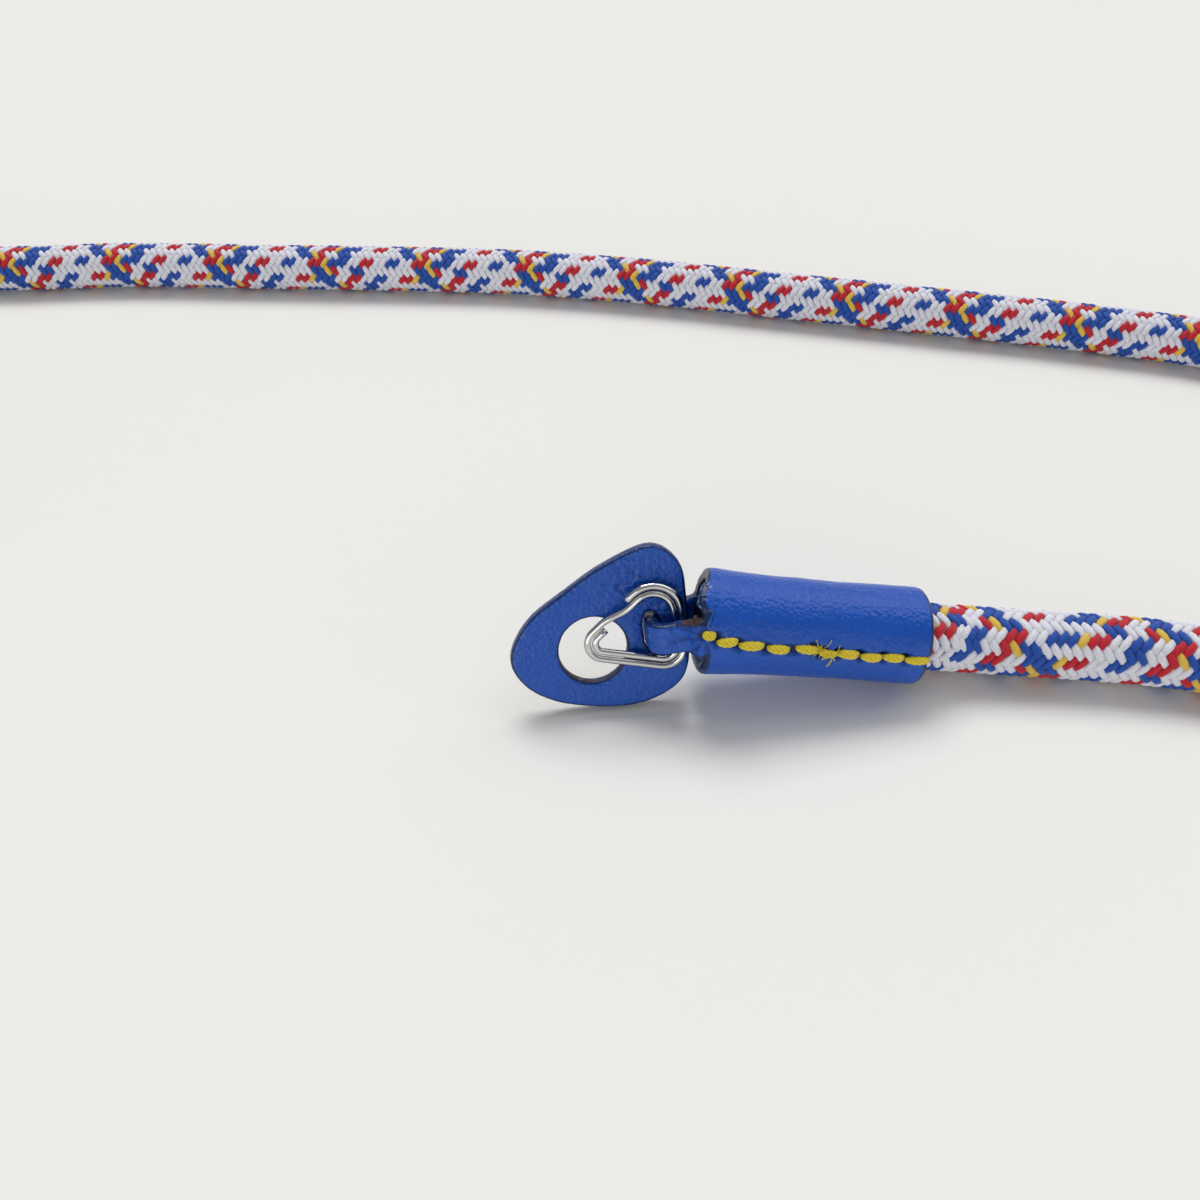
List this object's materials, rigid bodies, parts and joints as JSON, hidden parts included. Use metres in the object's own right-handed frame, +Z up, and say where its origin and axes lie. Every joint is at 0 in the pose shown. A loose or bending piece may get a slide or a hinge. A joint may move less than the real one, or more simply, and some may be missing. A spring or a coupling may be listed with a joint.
{
  "type": "camera neck strap",
  "caption": "Braided round rope neck strap with a stitched leather sleeve, split ring and leather protector at each end, laid in an open loop.",
  "frame": {"origin": "on the surface that the strap lies on, midway between its two ends", "axes": "+X from the left end to the right end, +Y away from the viewer towards the rope's back run, +Z up"},
  "size_m": [0.495, 0.1516, 0.0227],
  "materials": {
    "braided_rope": "white braided polyester yarn with blue, red and yellow yarns in a repeating pattern",
    "blue_leather": "finely grained blue leather with dark painted cut edges and thick yellow stitches",
    "ring_steel": "bright nickel-plated steel wire"
  },
  "bodies": {
    "root": {"rope": "braided_rope", "sleeve_right": "blue_leather", "sleeve_left": "blue_leather", "protector_right": "blue_leather", "protector_left": "blue_leather"},
    "ring_right": {"ring_right": "ring_steel"},
    "ring_left": {"ring_left": "ring_steel"}
  },
  "joints": [
    {"name": "ring_right_swing", "type": "hinge", "parent": "root", "child": "ring_right", "pos_m": [0.07765, -0.00145, 0.01181], "axis": [-0.1193, 0.3227, 0.939], "range_deg": [0, 100]},
    {"name": "ring_left_swing", "type": "hinge", "parent": "root", "child": "ring_left", "pos_m": [-0.07765, 0.00145, 0.01181], "axis": [0.1193, -0.3227, 0.939], "range_deg": [0, 100]}
  ]
}
